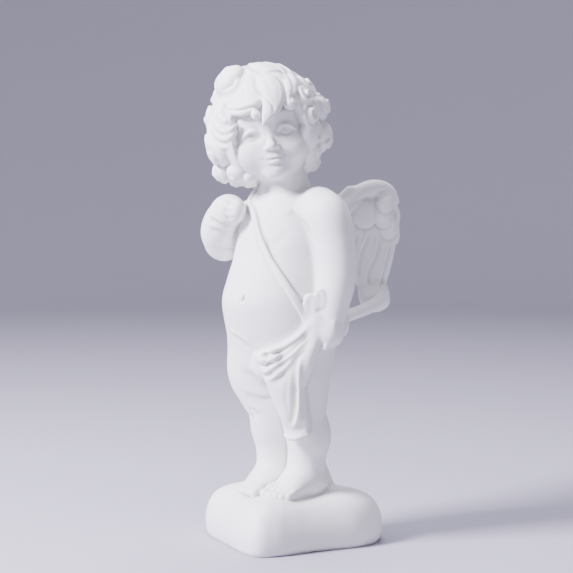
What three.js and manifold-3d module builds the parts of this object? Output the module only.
// Plaster putto with a bow, cast in one piece with its cushion-shaped base.
// Millimetres, +Z up. The figure faces -Y and its own left side is +X.

import * as THREE from "three";
import { ParametricGeometry } from "three/addons/geometries/ParametricGeometry.js";
import { mergeVertices } from "three/addons/utils/BufferGeometryUtils.js";
import Module from "manifold-3d";

// Driving dimensions

// Base: a soft heart-shaped cushion whose tip points BASE_TURN degrees to the figure's left of its front.
const BASE_TOP = 34.5;
const BASE_TURN = 21;
const BASE_CENTRE = [-1.9, -1.6];
// Outline radius every so many degrees from the tip, the same on both sides.
const BASE_OUTLINE = [
  [0, 54],
  [12, 48.2],
  [25, 42.2],
  [42, 38.9],
  [60, 39.8],
  [75, 44],
  [90, 52.4],
  [105, 60],
  [120, 63],
  [135, 61.8],
  [150, 56.6],
  [165, 47.8],
  [180, 41.5],
];
// Section of the cushion: inset from the outline, height.
const BASE_SECTION = [
  [7, 0],
  [2, 2],
  [0, 9],
  [0.5, 17],
  [3.5, 24.5],
  [9, 30],
  [18, 33.3],
];

// Torso sections: height, centre x, centre y, half width, front depth, back depth.
const TORSO = [
  [104, -5, 1, 24, 18, 22],
  [112, -5, 1, 33, 25, 29],
  [124, -5, 1, 36.5, 30, 32],
  [138, -5, 0, 37, 35, 29],
  [152, -5.5, 0, 36, 38.5, 25],
  [165, -5.5, 1, 34, 35, 23],
  [178, -5.5, 2, 32.5, 29.5, 24],
  [191, -5, 3, 33, 27, 25.5],
  [203, -4.5, 3, 31.5, 24, 25],
  [212, -4.5, 2.5, 25, 20, 21],
  [219, -4.5, 1.5, 17.5, 16, 17],
  [227, -5, 0, 15, 15, 15.5],
  [238, -7, -1, 15, 15, 16],
];

// Limbs: x, y, z, radius along each centre line.
const RIGHT_LEG = [
  [-21, -2, 121, 19.8],
  [-21.5, -4, 106, 19.8],
  [-18.5, -4, 92, 17.2],
  [-15.2, -3, 80, 14.2],
  [-14.5, 1, 67, 13.6],
  [-13.5, 2.5, 55, 10.8],
  [-13, 2.5, 46, 10.2],
  [-13, 2, 37, 10.5],
];
const LEFT_LEG = [
  [11.5, -1, 121, 19.5],
  [12, -2, 106, 19],
  [11.5, -0.5, 91, 16.4],
  [11.3, 1, 79, 14.6],
  [12.6, 4, 67, 14.3],
  [12, 5.5, 55, 11],
  [12, 5.5, 46, 10.4],
  [12, 5, 37, 10.6],
];
const LEFT_ARM = [
  [22, 2, 208, 13.5],
  [28.5, 1.5, 203, 14.2],
  [33, 2, 189, 13.2],
  [35.5, 2, 174, 12.4],
  [36, 1, 163, 11.8],
  [35, -2, 151, 10.2],
  [34.5, -5, 142, 8.6],
  [35, -7, 134, 8.4],
];
const RIGHT_UPPER_ARM = [
  [-26, 3, 206, 13.5],
  [-34, 0, 203, 14.2],
  [-41, -6, 194, 13.4],
  [-44, -11, 187, 12.8],
];
const RIGHT_FOREARM = [
  [-44, -12, 187, 12.4],
  [-42, -18, 192, 11.6],
  [-36, -22, 199, 10],
  [-31, -23, 204, 9.2],
];

// Fists: centre, half sizes, Euler turns, finger radius, and the outer fingers' root, bend and tip.
const FINGERS = 4;
const RIGHT_FIST = {
  centre: [-28, -24.5, 208],
  half: [8.6, 7.2, 8],
  turn: [0, 20, 20],
  finger: 2.8,
  first: [[-25, -28, 213.5], [-22.4, -27.6, 212.6], [-20.5, -23, 210.5]],
  last: [[-21.4, -26.5, 202.2], [-20, -26, 201.8], [-19.3, -24.2, 201.5]],
};
const LEFT_FIST = {
  centre: [35.5, -8, 130],
  half: [6.6, 8.6, 9.5],
  turn: [10, 0, 20],
  finger: 2.7,
  first: [[39, -3, 129.5], [38, -3, 125.5], [34.5, -3, 123.5]],
  last: [[34.8, -14.4, 125.3], [33.5, -14, 123], [30.9, -13.2, 121.7]],
};

// Feet: forward, height, half width and half thickness along the sole.
// Toes: side, reach and radius of each.
const FOOT = [
  [-6, 37, 9, 8],
  [5, 39, 10, 9.5],
  [15, 36.5, 10.8, 7],
  [22, 34, 10.4, 5],
];
const TOES = [
  [7, 26.5, 3.5],
  [2.4, 26.8, 2.7],
  [-1.5, 25.6, 2.5],
  [-5.2, 24, 2.3],
  [-8.6, 21.8, 2.1],
];
const RIGHT_ANKLE = [-13, 2];
const RIGHT_FOOT_HEADING = -3;
const LEFT_ANKLE = [12, 4];
const LEFT_FOOT_HEADING = -8;
const TOE_LENGTH = 7;
const TOE_FAN = 0.95;
const TOE_ROOT = 34.5;
const TOE_TIP = 32.8;

const BUTTOCKS = [
  [-17, 9.5, 119.5],
  [7, 9.5, 119.5],
];
const BUTTOCK_HALF = [18.6, 20, 19];

// Support stump: x, y, z, radius.
const STUMP = [
  [1, 22, 28, 16],
  [1.5, 20, 36, 13],
  [1.5, 16, 48, 10.5],
  [0, 11, 66, 9.5],
  [-1, 8, 88, 9],
];

// Head: centre, half sizes across, front to back and up, then turn, lean and nod in degrees.
const HEAD_CENTRE = [-13, -6.5, 257];
const HEAD_HALF = [28.5, 31.5, 34];
const SKULL_SHIFT = 1;
const HEAD_TURN = 30;
const HEAD_LEAN = 12;
const HEAD_NOD = 2;

// Hair locks: heading and latitude on the skull with the lift off it at each point, then width and depth.
// Front locks are forms of their own; crown locks are ridges of the cap.
const FRONT_LOCKS = [
  { route: [[-62, 42, 5], [-78, 24, 6.5], [-76, 6, 6.5], [-54, -4, 7], [-38, 1, 6]], wide: 6.5, thick: 5 },
  { route: [[-62, 32, 6], [-36, 26, 7], [-16, 18, 7], [2, 10, 6]], wide: 6, thick: 4.5 },
  { route: [[30, 76, 3], [23, 52, 6], [20, 30, 7.5], [16, 15, 7], [7, 3, 6]], wide: 9, thick: 5.5 },
  { route: [[58, 64, 4], [48, 44, 6.5], [46, 26, 7], [33, 13, 6.5]], wide: 7, thick: 5 },
];
// Part of a half wave that a lock's width follows: where it starts, and how much of it.
const LOCK_TAPER = [0.24, 0.62];
const CROWN_LOCKS = [
  { route: [[-20, 82], [-31, 56], [-52, 38], [-80, 26]], wide: 9, rise: 10 },
  { route: [[-14, 74], [4, 56], [3, 38], [-10, 25]], wide: 7.5, rise: 11 },
  { route: [[-6, 66], [-20, 48], [-30, 34], [-20, 22]], wide: 7, rise: 11 },
  { route: [[80, 62], [72, 44], [68, 26], [60, 16]], wide: 8, rise: 8 },
  { route: [[200, 78], [330, 86], [10, 74]], wide: 9, rise: 9 },
  { route: [[160, 76], [80, 84], [40, 72]], wide: 9, rise: 8 },
  { route: [[250, 76], [290, 70], [318, 60]], wide: 9, rise: 9 },
];

// Round curls: heading, latitude, lift off the skull and radius. Loose ones stand clear of the cap.
const LOOSE_CURLS = [
  [-45, 55, 6, 8],
  [-62, -11, 5.5, 8.2],
  [-80, -30, 7, 7],
  [-63, -41, 3.5, 6.5],
  [-66, -57, 2, 5.5],
  [-96, -42, 5, 7],
  [66, 18, 6, 6],
  [61, 7, 6, 5.6],
  [57, -3, 5.5, 5.2],
  [66, -20, 5, 7.5],
  [93, -20, 6, 8.2],
  [88, -44, 2, 6.5],
];
const CAP_CURLS = [
  [-88, -4, 4.5, 8],
  [-90, 18, 5, 8.5],
  [-94, 42, 4, 9],
  [94, 4, 5.5, 8],
];

// Plainer rows of curls round the back: latitude, first and last heading, count, lift and radius.
const BACK_ROWS = [
  [14, 116, 246, 6, 3.5, 10],
  [-12, 114, 248, 6, 3.5, 10],
  [-36, 116, 244, 6, 2, 9],
];
const BACK_STAGGER = 3;
// The cap under them: its thickness, and the waves that run down it from the crown.
const CAP_THICK = 4.2;
const CAP_WAVE = 1.4;
const CAP_WAVES = 9;
const CAP_SWAY = [2, 3];
const RIDGE_POINTS = 12;
const BROW_LATITUDE = 24;
const TEMPLE_HEADING = 58;
const NAPE_LATITUDE = -52;

// Face on plain child proportions: jaw, chin, two cheeks, nose and lips as centre, half sizes and nod.
const FACE = [
  { centre: [0, -12.5, -15], half: [21, 16.5, 17.5], nod: 0, facets: [12, 8] },
  { centre: [0, -23, -26.5], half: [7, 6, 6], nod: 0, facets: [7, 5] },
  { centre: [-11, -19.5, -15.5], half: [9.5, 8, 9.5], nod: 0, facets: [7, 5] },
  { centre: [11, -19.5, -15.5], half: [9.5, 8, 9.5], nod: 0, facets: [7, 5] },
  { centre: [0, -29.8, -11], half: [2.8, 3.6, 4.6], nod: -20, facets: [6, 4] },
  { centre: [0, -27.6, -19.5], half: [5, 2.4, 2.2], nod: 0, facets: [6, 4] },
];

// Strap: angle round the torso and height of each point from the right shoulder to the left hip.
const STRAP = [
  [-72, 222],
  [-40, 212],
  [-11, 204],
  [0, 194],
  [11, 185],
  [22, 177],
  [38, 167],
  [54, 154],
  [65, 139],
];
const STRAP_HALF = 2.6;
const STRAP_THICK = 1.5;
const STRAP_LIFT = 0.2;

// Hip cloth: the knot's angle and height, then where each fold ends and how far it sags on the way.
const KNOT = [65, 137];
const KNOT_BALL = { centre: [30, -15.5, 139], half: [6, 5, 8] };
const FOLDS = [
  [6, 116.5, 3.2],
  [4, 111.5, 2.6],
  [8, 106, 1.2],
  [26, 105.5, 0.3],
];
const FOLD_HALF = 3.2;
const FOLD_FLARE = 1.4;
const FOLD_THICK = 2.6;
const FOLD_LIFT = 0.6;
const POUCH = { centre: [-3, -20.5, 111], half: [6.5, 6, 7.5] };
// Tail of the cloth: x, y, z, half width, half thickness.
const TAIL = [
  [30, -14, 130, 6, 5.5],
  [22, -20, 117, 10.5, 6.5],
  [15, -21.5, 104, 12, 6.5],
  [15.5, -19, 90, 10, 6],
  [17.8, -16, 78, 8, 5.8],
  [19.2, -14.5, 71.5, 7.6, 5.6],
];
// Ribbon loops: centre, half width, half height.
const LOOPS = [
  [30.5, -16.5, 151, 2.6, 5.6],
  [34.5, -12, 155, 2.2, 4.4],
];
const LOOP_BAND = [1.8, 2.2];
const LOOP_SWEEP = 300;
const LOOP_START = 60;
const LOOP_POINTS = 8;

// Bow limb: x, y, z, half width, half thickness.
const BOW = [
  [33, -2, 138, 4.4, 5],
  [33, 14, 141.5, 4, 4.8],
  [35.5, 30, 145.5, 3.6, 3.9],
  [39, 42, 149.5, 3.4, 3.6],
  [38.5, 46, 155, 3.4, 5],
  [35.5, 42, 163, 3.2, 8],
];

// Wings: root from the body's middle and back from its axis, and heading of the span from straight back.
const MIDDLE = -5;
const WING_ROOT = [14, 21];
const WING_HEADING = 37;
// Ridge over the top and web behind the feathers: distance out, height, half width, half thickness.
const WING_RIDGE = [
  [-8, 195, 8, 6],
  [4, 199.5, 7, 5.5],
  [15, 206, 6, 5],
  [24, 217.5, 5.2, 5],
  [33, 220.5, 4.8, 4.8],
  [42, 216, 4.6, 4.2],
  [46, 206, 4, 3.8],
  [47, 196, 3, 3],
];
const WING_WEB = [
  [12, 206, 13, 3.4],
  [24, 204, 20, 3.8],
  [29, 190, 18, 3.2],
  [31, 172, 12, 2.8],
  [31.5, 153, 8.5, 3],
];
// Long feathers: distance out and height of the start, the same of the tip, half width.
const PRIMARIES = [
  [17, 198, 22, 164, 4.8],
  [24, 200, 29, 157, 5],
  [31, 202, 36, 158, 5],
  [37, 204, 41.5, 168, 4.8],
  [42, 206, 45.5, 180, 4.4],
];
const PRIMARY_LIFT = 1.2;
const PRIMARY_STEP = 0.3;
// From a long feather's root to its tip: share of the way, bend, share of the width, half thickness.
const BLADE = [
  [0, 0, 0.9, 2.6],
  [0.5, 0.5, 1, 2.4],
  [1, 0, 0.7, 2],
];
// Down a covert: bend outwards, share of the drop, share of the width, half thickness.
const SCALLOP = [
  [0, -0.4, 0.8, 2.8],
  [0.8, 0.4, 1, 2.6],
  [1.2, 0.75, 0.7, 2],
];
// Rows of short scalloped coverts.
const COVERT_ROWS = [
  { count: 4, from: 13, step: 8.6, z: 200, climb: 3.2, drop: 14, wide: 5.6, lift: 2.8 },
  { count: 3, from: 21, step: 9, z: 192, climb: 3, drop: 12, wide: 5.6, lift: 1.9 },
];

// Facets of each form: sides round it, then steps along it.
const FACETS = {
  base: 28,
  torso: [16, 10],
  limb: [10, 8],
  upperArm: [10, 4],
  forearm: [10, 3],
  buttock: [9, 6],
  foot: [8, 3],
  toe: [5, 1],
  stump: [8, 4],
  fist: [8, 6],
  finger: [5, 2],
  strap: [4, 10],
  fold: [5, 3],
  tail: [9, 6],
  loop: [4, 7],
  knot: [8, 6],
  bow: [7, 8],
  ridge: [7, 8],
  web: [8, 4],
  feather: [5, 2],
  cap: [31, 17],
  lockSides: 6,
  ball: [7, 5],
};

const PLASTER = { color: 0xf1f0ee, roughness: 0.85, metalness: 0 };

// Small helpers

const DEG = Math.PI / 180;
const vec = (x, y, z) => new THREE.Vector3(x, y, z);
const UP = vec(0, 0, 1);
const FRONT = vec(0, -1, 0);
const TAIL_FACE = vec(0.45, -0.9, 0);
const LOOP_FACE = vec(0.6, -0.8, 0);
const LOOP_SIDE = vec(0.8, 0.6, 0);
const BOW_FACE = vec(0.6, 0.8, 0.1);

// Smooth cubic through table rows [key, value, ...], read at any key.
function tableAt(table, key) {
  const last = table.length - 1;
  let i = 0;
  while (i < last - 1 && key > table[i + 1][0]) i += 1;
  const [a, b] = [table[i], table[i + 1]];
  const before = table[Math.max(i - 1, 0)];
  const after = table[Math.min(i + 2, last)];
  const span = b[0] - a[0];
  const t = Math.min(Math.max((key - a[0]) / span, 0), 1);
  return a.slice(1).map((value, k) => {
    const next = b[k + 1];
    const slopeA = (span * (next - before[k + 1])) / (b[0] - before[0]);
    const slopeB = (span * (after[k + 1] - value)) / (after[0] - a[0]);
    const t2 = t * t;
    const t3 = t2 * t;
    return (
      value * (2 * t3 - 3 * t2 + 1) +
      slopeA * (t3 - 2 * t2 + t) +
      next * (3 * t2 - 2 * t3) +
      slopeB * (t3 - t2)
    );
  });
}

// A closed skin over rings, each ring { c, a, b }: a centre and its two half axes.
function skin(rings, sides) {
  const point = (u, v, target) => {
    const ring = rings[Math.round(v * (rings.length - 1))];
    const turn = 2 * Math.PI * (u % 1);
    target.copy(ring.c);
    target.addScaledVector(ring.a, Math.cos(turn));
    target.addScaledVector(ring.b, Math.sin(turn));
  };
  return new ParametricGeometry(point, sides, rings.length - 1);
}

// Rings of a limb through nodes { p, wide, thick, out }; out is the side that thick is measured along.
function limbRings(nodes, steps, endSteps = 1) {
  const path = new THREE.CatmullRomCurve3(nodes.map((n) => n.p), false, "centripetal");
  const mix = (key, t) => {
    const table = nodes.map((n, i) => [i, n[key]]);
    return tableAt(table, t * (nodes.length - 1))[0];
  };
  const ringAt = (t) => {
    const along = path.getTangent(t).normalize();
    const i = Math.min(Math.floor(t * (nodes.length - 1)), nodes.length - 2);
    const f = t * (nodes.length - 1) - i;
    const out = nodes[i].out.clone().lerp(nodes[i + 1].out, f);
    const side = new THREE.Vector3().crossVectors(out, along).normalize();
    const up = new THREE.Vector3().crossVectors(along, side).normalize();
    return { c: path.getPoint(t), side, up, along, wide: mix("wide", t), thick: mix("thick", t) };
  };
  const rings = [];
  const addRing = (r, shift, scale) => {
    rings.push({
      c: r.c.clone().addScaledVector(r.along, shift),
      a: r.side.clone().multiplyScalar(r.wide * scale),
      b: r.up.clone().multiplyScalar(r.thick * scale),
    });
  };
  const first = ringAt(0);
  const final = ringAt(1);
  for (let k = 0; k < endSteps; k += 1) {
    const bend = (k / endSteps) * 90 * DEG;
    addRing(first, -Math.cos(bend) * first.thick, Math.sin(bend));
  }
  for (let k = 0; k <= steps; k += 1) addRing(ringAt(k / steps), 0, 1);
  for (let k = endSteps - 1; k >= 0; k -= 1) {
    const bend = (k / endSteps) * 90 * DEG;
    addRing(final, Math.cos(bend) * final.thick, Math.sin(bend));
  }
  return rings;
}

// A limb through nodes with sides and steps as [sides, steps], and rounded ends of endSteps rings.
function limb(nodes, [sides, steps], endSteps = 1) {
  return skin(limbRings(nodes, steps, endSteps), sides);
}

// A round limb from rows [x, y, z, radius].
function roundLimb(rows, facets, out = FRONT) {
  const nodes = rows.map(([x, y, z, r]) => ({ p: vec(x, y, z), wide: r, thick: r, out }));
  return limb(nodes, facets);
}

// A flat limb from rows [x, y, z, half width, half thickness], its face towards out.
function flatLimb(rows, facets, out, endSteps = 1) {
  const nodes = rows.map(([x, y, z, wide, thick]) => ({ p: vec(x, y, z), wide, thick, out }));
  return limb(nodes, facets, endSteps);
}

// An ellipsoid with half sizes [a, b, c] at centre, turned by Euler angles in degrees.
function ball(centre, half, turn = [0, 0, 0], facets = FACETS.ball) {
  const shape = new THREE.SphereGeometry(1, ...facets);
  shape.rotateX(90 * DEG);
  shape.scale(half[0], half[1], half[2]);
  const euler = new THREE.Euler(turn[0] * DEG, turn[1] * DEG, turn[2] * DEG, "ZYX");
  shape.applyMatrix4(new THREE.Matrix4().makeRotationFromEuler(euler));
  shape.translate(centre[0], centre[1], centre[2]);
  return shape;
}

// Point on the torso skin at an angle round it (0 = front, 90 = figure's left) and a height.
function torsoPoint(angle, z, lift = 0) {
  const [cx, cy, half, front, back] = tableAt(TORSO, z);
  const s = Math.sin(angle * DEG);
  const c = Math.cos(angle * DEG);
  const depth = c > 0 ? front : back;
  const flatOut = vec(s * depth, -c * half, 0).normalize();
  return {
    p: vec(cx + half * s, cy - depth * c, z).addScaledVector(flatOut, lift),
    out: flatOut,
  };
}

// Base

function baseShape() {
  const section = BASE_SECTION;
  const radiusAt = (turn) => {
    const fold = Math.abs(((turn + 540) % 360) - 180);
    return tableAt(BASE_OUTLINE, fold)[0];
  };
  const place = (u, v, target) => {
    const turn = 360 * (u % 1);
    const k = Math.round(v * (section.length + 1));
    const heading = (turn + BASE_TURN) * DEG;
    let reach = 0;
    let z = k === 0 ? 0 : BASE_TOP;
    if (k > 0 && k <= section.length) {
      reach = radiusAt(turn) - section[k - 1][0];
      z = section[k - 1][1];
    }
    const x = BASE_CENTRE[0] + reach * Math.sin(heading);
    const y = BASE_CENTRE[1] - reach * Math.cos(heading);
    target.set(x, y, z);
  };
  return new ParametricGeometry(place, FACETS.base, section.length + 1);
}

// Body

function torsoShape() {
  const [sides, steps] = FACETS.torso;
  const low = TORSO[0][0];
  const high = TORSO[TORSO.length - 1][0];
  const place = (u, v, target) => {
    const k = Math.round(v * (steps + 2));
    if (k === 0 || k === steps + 2) {
      const z = k === 0 ? low : high;
      const [cx, cy] = tableAt(TORSO, z);
      target.set(cx, cy, z);
      return;
    }
    const height = THREE.MathUtils.lerp(low, high, (k - 1) / steps);
    target.copy(torsoPoint(360 * (u % 1), height).p);
  };
  return new ParametricGeometry(place, sides, steps + 2);
}

// A foot: a wedge-like instep with a heel, and five toes in a fan. inner is 1 or -1, the big toe's side.
function footShapes([x, y], heading, inner) {
  const h = heading * DEG;
  const ahead = vec(Math.sin(h), -Math.cos(h), 0);
  const aside = vec(Math.cos(h), Math.sin(h), 0);
  const at = (forward, side, z) => {
    return vec(x, y, z).addScaledVector(ahead, forward).addScaledVector(aside, side);
  };
  const sole = FOOT.map(([forward, z, wide, thick]) => ({ p: at(forward, 0, z), wide, thick, out: UP }));
  const shapes = [limb(sole, FACETS.foot, 2)];
  for (const [side, reach, size] of TOES) {
    const nodes = [
      { p: at(reach - TOE_LENGTH, inner * side * TOE_FAN, TOE_ROOT), wide: size, thick: size, out: UP },
      { p: at(reach, inner * side, TOE_TIP), wide: size, thick: size, out: UP },
    ];
    shapes.push(limb(nodes, FACETS.toe));
  }
  return shapes;
}

function legShapes() {
  return [
    roundLimb(RIGHT_LEG, FACETS.limb),
    roundLimb(LEFT_LEG, FACETS.limb),
    ...footShapes(RIGHT_ANKLE, RIGHT_FOOT_HEADING, 1),
    ...footShapes(LEFT_ANKLE, LEFT_FOOT_HEADING, -1),
    ...BUTTOCKS.map((centre) => ball(centre, BUTTOCK_HALF, [0, 0, 0], FACETS.buttock)),
  ];
}

// Support stump behind the ankles.
function stumpShape() {
  return roundLimb(STUMP, FACETS.stump);
}

// Arms and hands

// Four fingers side by side, each a short bent limb; first and last give the two outer ones.
function fingerShapes(first, last, size) {
  const shapes = [];
  for (let k = 0; k < FINGERS; k += 1) {
    const nodes = first.map((start, i) => {
      const p = vec(...start).lerp(vec(...last[i]), k / (FINGERS - 1));
      return { p, wide: size, thick: size, out: UP };
    });
    shapes.push(limb(nodes, FACETS.finger));
  }
  return shapes;
}

function armShapes() {
  return [
    roundLimb(LEFT_ARM, FACETS.limb),
    roundLimb(RIGHT_UPPER_ARM, FACETS.upperArm, UP),
    roundLimb(RIGHT_FOREARM, FACETS.forearm, UP),
    // Right hand: a loose fist held against the front of the shoulder.
    ball(RIGHT_FIST.centre, RIGHT_FIST.half, RIGHT_FIST.turn, FACETS.fist),
    ...fingerShapes(RIGHT_FIST.first, RIGHT_FIST.last, RIGHT_FIST.finger),
    // Left hand: it closes on the grip of the bow at the hip.
    ball(LEFT_FIST.centre, LEFT_FIST.half, LEFT_FIST.turn, FACETS.fist),
    ...fingerShapes(LEFT_FIST.first, LEFT_FIST.last, LEFT_FIST.finger),
  ];
}

// Strap across the chest: a flat band that lies on the skin.
function strapShape() {
  const nodes = STRAP.map(([angle, z]) => {
    const s = torsoPoint(angle, z, STRAP_LIFT);
    return { p: s.p, wide: STRAP_HALF, thick: STRAP_THICK, out: s.out };
  });
  return limb(nodes, FACETS.strap);
}

// Hip cloth: folds that fan out from the knot at the left hip to the groin, and a tail that hangs down.
function clothShapes() {
  const shapes = [];
  for (const [angle, z, sag] of FOLDS) {
    const nodes = [0, 1 / 3, 2 / 3, 1].map((t) => {
      const along = THREE.MathUtils.lerp(KNOT[0], angle, t);
      const height = THREE.MathUtils.lerp(KNOT[1], z, t) - sag * Math.sin(Math.PI * t);
      const s = torsoPoint(along, height, FOLD_LIFT);
      return { p: s.p, wide: FOLD_HALF + FOLD_FLARE * t, thick: FOLD_THICK, out: s.out };
    });
    shapes.push(limb(nodes, FACETS.fold));
  }
  shapes.push(ball(POUCH.centre, POUCH.half));
  shapes.push(flatLimb(TAIL, FACETS.tail, TAIL_FACE, 2));
  return shapes;
}

// Ribbon loops at the hip: open rings that stand on the knot.
function knotShapes() {
  const shapes = LOOPS.map(([x, y, z, wide, tall]) => {
    const nodes = [];
    for (let k = 0; k <= LOOP_POINTS; k += 1) {
      const turn = ((k / LOOP_POINTS) * LOOP_SWEEP - LOOP_START) * DEG;
      const p = vec(x, y, z).addScaledVector(LOOP_SIDE, Math.cos(turn) * wide);
      p.z += Math.sin(turn) * tall;
      nodes.push({ p, wide: LOOP_BAND[0], thick: LOOP_BAND[1], out: LOOP_FACE });
    }
    return limb(nodes, FACETS.loop);
  });
  shapes.push(ball(KNOT_BALL.centre, KNOT_BALL.half, [0, 0, 0], FACETS.knot));
  return shapes;
}

// Bow limb that runs back from the hip and curls up into the end of the wing.
function bowShape() {
  return flatLimb(BOW, FACETS.bow, BOW_FACE);
}

// Wings

// One wing, side 1 for the figure's left and -1 for its right: a ridge, a web, primaries and coverts.
function wingShapes(side) {
  const heading = WING_HEADING * DEG;
  const root = vec(MIDDLE + side * WING_ROOT[0], WING_ROOT[1], 0);
  const outward = vec(side * Math.sin(heading), Math.cos(heading), 0);
  const face = vec(side * Math.cos(heading), -Math.sin(heading), 0);
  const node = (o, z, wide, thick, lift = 0) => {
    const p = root.clone().addScaledVector(outward, o).addScaledVector(face, lift);
    p.z = z;
    return { p, wide, thick, out: face };
  };
  const shapes = [
    limb(WING_RIDGE.map((row) => node(...row)), FACETS.ridge),
    limb(WING_WEB.map((row) => node(...row)), FACETS.web),
  ];
  PRIMARIES.forEach(([o1, z1, o2, z2, wide], i) => {
    const lift = PRIMARY_LIFT + PRIMARY_STEP * i;
    const blade = BLADE.map(([along, bend, share, thick]) => {
      const o = THREE.MathUtils.lerp(o1, o2, along) + bend;
      const z = THREE.MathUtils.lerp(z1, z2, along);
      return node(o, z, wide * share, thick, lift);
    });
    shapes.push(limb(blade, FACETS.feather));
  });
  for (const row of COVERT_ROWS) {
    for (let k = 0; k < row.count; k += 1) {
      const scallop = SCALLOP.map(([bend, fall, share, thick]) => {
        const o = row.from + row.step * k + bend;
        const z = row.z + row.climb * k - fall * row.drop;
        return node(o, z, row.wide * share, thick, row.lift);
      });
      shapes.push(limb(scallop, FACETS.feather));
    }
  }
  return shapes;
}

// Head and hair

function headFrame() {
  const euler = new THREE.Euler(HEAD_NOD * DEG, -HEAD_LEAN * DEG, HEAD_TURN * DEG, "ZYX");
  const frame = new THREE.Matrix4().makeRotationFromEuler(euler);
  frame.setPosition(HEAD_CENTRE[0], HEAD_CENTRE[1], HEAD_CENTRE[2]);
  return frame;
}

// Head parts are laid out straight, facing -Y, then turned into place together.
function headShapes() {
  const shapes = [];
  const [a, b, c] = HEAD_HALF;
  FACE.forEach(({ centre, half, nod, facets }) => shapes.push(ball(centre, half, [nod, 0, 0], facets)));

  const headingOut = (heading, latitude) => {
    const h = heading * DEG;
    const l = latitude * DEG;
    return vec(Math.sin(h) * Math.cos(l), -Math.cos(h) * Math.cos(l), Math.sin(l));
  };
  // Point over the skull in an outward direction.
  const over = (out, lift) => {
    return vec(out.x * (a + lift), SKULL_SHIFT + out.y * (b + lift), SKULL_SHIFT + out.z * (c + lift));
  };

  const ridges = CROWN_LOCKS.map(({ route, wide, rise }) => {
    const path = new THREE.CatmullRomCurve3(route.map(([h, l]) => headingOut(h, l)));
    return { points: path.getPoints(RIDGE_POINTS).map((p) => p.normalize()), wide, rise };
  });
  const capCurls = CAP_CURLS.slice();
  for (const [latitude, from, to, count, lift, size] of BACK_ROWS) {
    for (let k = 0; k < count; k += 1) {
      const heading = THREE.MathUtils.lerp(from, to, k / (count - 1));
      capCurls.push([heading, latitude + (k % 2 ? BACK_STAGGER : -BACK_STAGGER), lift, size]);
    }
  }
  // Thickness of the hair in a direction: the highest of the cap, its ridges and its curls.
  const hairHeight = (out, heading, latitude) => {
    const fold = Math.abs(((heading + 540) % 360) - 180);
    let height = 0;
    if ((latitude > BROW_LATITUDE || fold > TEMPLE_HEADING) && latitude > NAPE_LATITUDE) {
      const sway = CAP_SWAY[0] * Math.sin(CAP_SWAY[1] * latitude * DEG);
      const wave = Math.sin(CAP_WAVES * heading * DEG + sway);
      height = CAP_THICK + CAP_WAVE * wave * Math.cos(latitude * DEG);
    }
    for (const { points, wide, rise } of ridges) {
      const near = Math.min(...points.map((p) => p.angleTo(out))) * (b + rise);
      if (near < wide) height = Math.max(height, rise * Math.sqrt(1 - (near / wide) ** 2));
    }
    for (const [h, l, lift, size] of capCurls) {
      const near = headingOut(h, l).angleTo(out) * (b + lift);
      if (near < size) height = Math.max(height, lift + Math.sqrt(size * size - near * near));
    }
    return height;
  };
  const place = (u, v, target) => {
    const heading = 360 * (u % 1);
    const latitude = 90 - 180 * v;
    const out = headingOut(heading, latitude);
    target.copy(over(out, hairHeight(out, heading, latitude)));
  };
  shapes.push(new ParametricGeometry(place, ...FACETS.cap));

  for (const { route, wide, thick } of FRONT_LOCKS) {
    const nodes = route.map(([heading, latitude, lift], i) => {
      const out = headingOut(heading, latitude);
      const share = LOCK_TAPER[0] + (LOCK_TAPER[1] * i) / (route.length - 1);
      const taper = Math.sin(Math.PI * share);
      return { p: over(out, lift), out, wide: wide * taper, thick: thick * taper };
    });
    shapes.push(limb(nodes, [FACETS.lockSides, route.length]));
  }
  for (const [heading, latitude, lift, size] of LOOSE_CURLS) {
    const p = over(headingOut(heading, latitude), lift);
    shapes.push(ball([p.x, p.y, p.z], [size, size, size], [0, 0, heading]));
  }
  const frame = headFrame();
  shapes.forEach((shape) => shape.applyMatrix4(frame));
  return shapes;
}

// Joining into one solid

const wasm = await Module();
wasm.setup();

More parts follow.
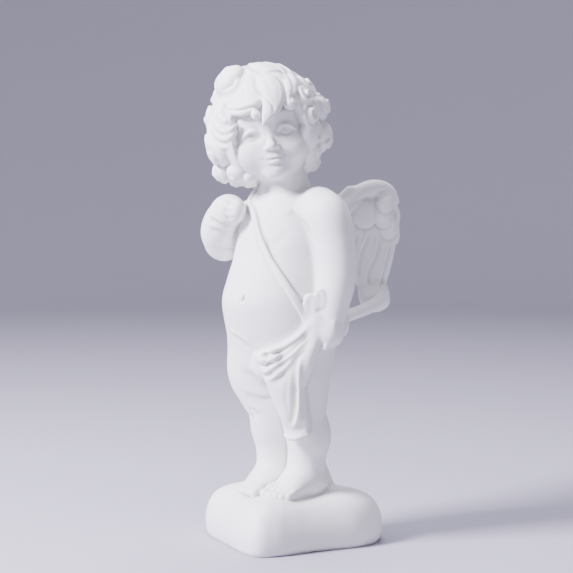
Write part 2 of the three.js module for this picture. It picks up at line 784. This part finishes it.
function solidOf(geometry) {
  const bare = geometry.index ? geometry.clone() : geometry;
  bare.deleteAttribute("normal");
  bare.deleteAttribute("uv");
  const merged = mergeVertices(bare, 1e-4);
  const points = merged.getAttribute("position").array;
  const corners = merged.index.array;
  const kept = [];
  let volume = 0;
  for (let i = 0; i < corners.length; i += 3) {
    const [p, q, r] = [corners[i], corners[i + 1], corners[i + 2]];
    if (p === q || q === r || r === p) continue;
    kept.push([p, q, r]);
    const [a, b, c] = [p, q, r].map((n) => vec(points[3 * n], points[3 * n + 1], points[3 * n + 2]));
    volume += a.dot(b.cross(c));
  }
  if (volume < 0) kept.forEach((t) => t.reverse());
  const triVerts = new Uint32Array(kept.flat());
  const mesh = new wasm.Mesh({ numProp: 3, vertProperties: new Float32Array(points), triVerts });
  return new wasm.Manifold(mesh);
}

function joined(shapes) {
  let solids = shapes.map(solidOf);
  while (solids.length > 1) {
    const next = [];
    for (let i = 0; i < solids.length; i += 2) {
      next.push(i + 1 < solids.length ? solids[i].add(solids[i + 1]) : solids[i]);
    }
    solids = next;
  }
  return solids[0];
}

function geometryOf(solid) {
  const mesh = solid.getMesh();
  const geometry = new THREE.BufferGeometry();
  geometry.setAttribute("position", new THREE.BufferAttribute(mesh.vertProperties, 3));
  geometry.setIndex(new THREE.BufferAttribute(mesh.triVerts, 1));
  return geometry;
}

const whole = joined([
  baseShape(),
  torsoShape(),
  ...legShapes(),
  stumpShape(),
  ...armShapes(),
  strapShape(),
  ...clothShapes(),
  ...knotShapes(),
  bowShape(),
  ...wingShapes(1),
  ...wingShapes(-1),
  ...headShapes(),
]);

// Air trapped between joined forms is filled: only the outer body is kept.
const bodies = whole.decompose().sort((one, other) => other.volume() - one.volume());
const statue = geometryOf(bodies[0]);
statue.computeBoundingBox();
const box = statue.boundingBox;
const middle = box.getCenter(vec(0, 0, 0));
statue.translate(-middle.x, -middle.y, -box.min.z);
statue.computeVertexNormals();

const putto = new THREE.Mesh(statue, new THREE.MeshStandardMaterial(PLASTER));
putto.name = "putto_statue";

const group = new THREE.Group();
group.add(putto);

export default group;
